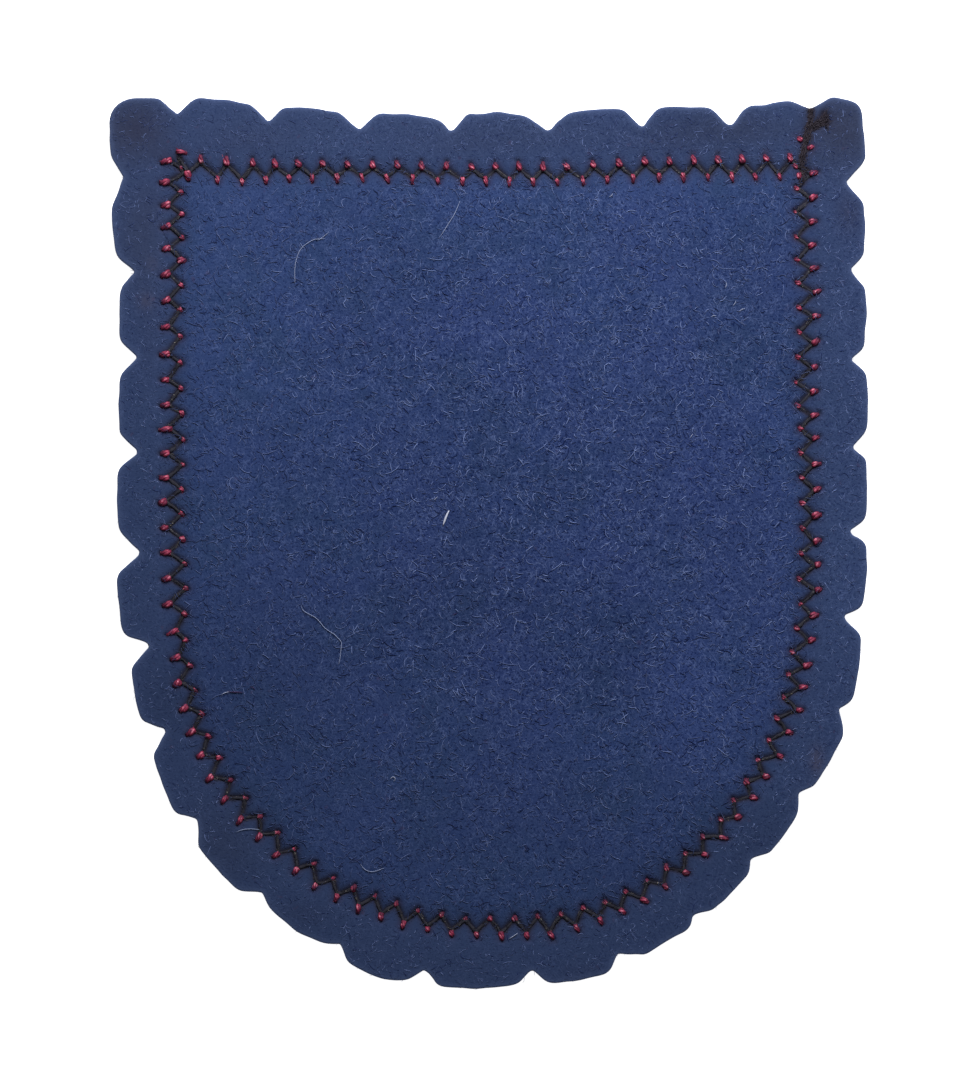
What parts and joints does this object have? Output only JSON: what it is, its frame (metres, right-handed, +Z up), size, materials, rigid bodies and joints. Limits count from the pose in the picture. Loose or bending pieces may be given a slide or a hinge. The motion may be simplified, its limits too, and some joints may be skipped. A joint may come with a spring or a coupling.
{
  "type": "sew-on patch",
  "caption": "Shield-shaped felt sew-on patch with a hand-cut scalloped edge and a zigzag seam set in a shallow channel inside it.",
  "frame": {"origin": "middle of the bounding box in X and Y, on the patch's lower face", "axes": "+X to the right and +Y to the top of the shield as the patch is seen from above, +Z up out of the face that carries the seam"},
  "size_m": [0.08, 0.094, 0.0015],
  "materials": {
    "felt": "Navy wool felt with a short soft nap, smoother and greyer on the rim outside the seam; the seam is a near-black thread zigzag held by small red loops."
  },
  "bodies": {
    "root": {"felt_shield": "felt"}
  },
  "joints": []
}
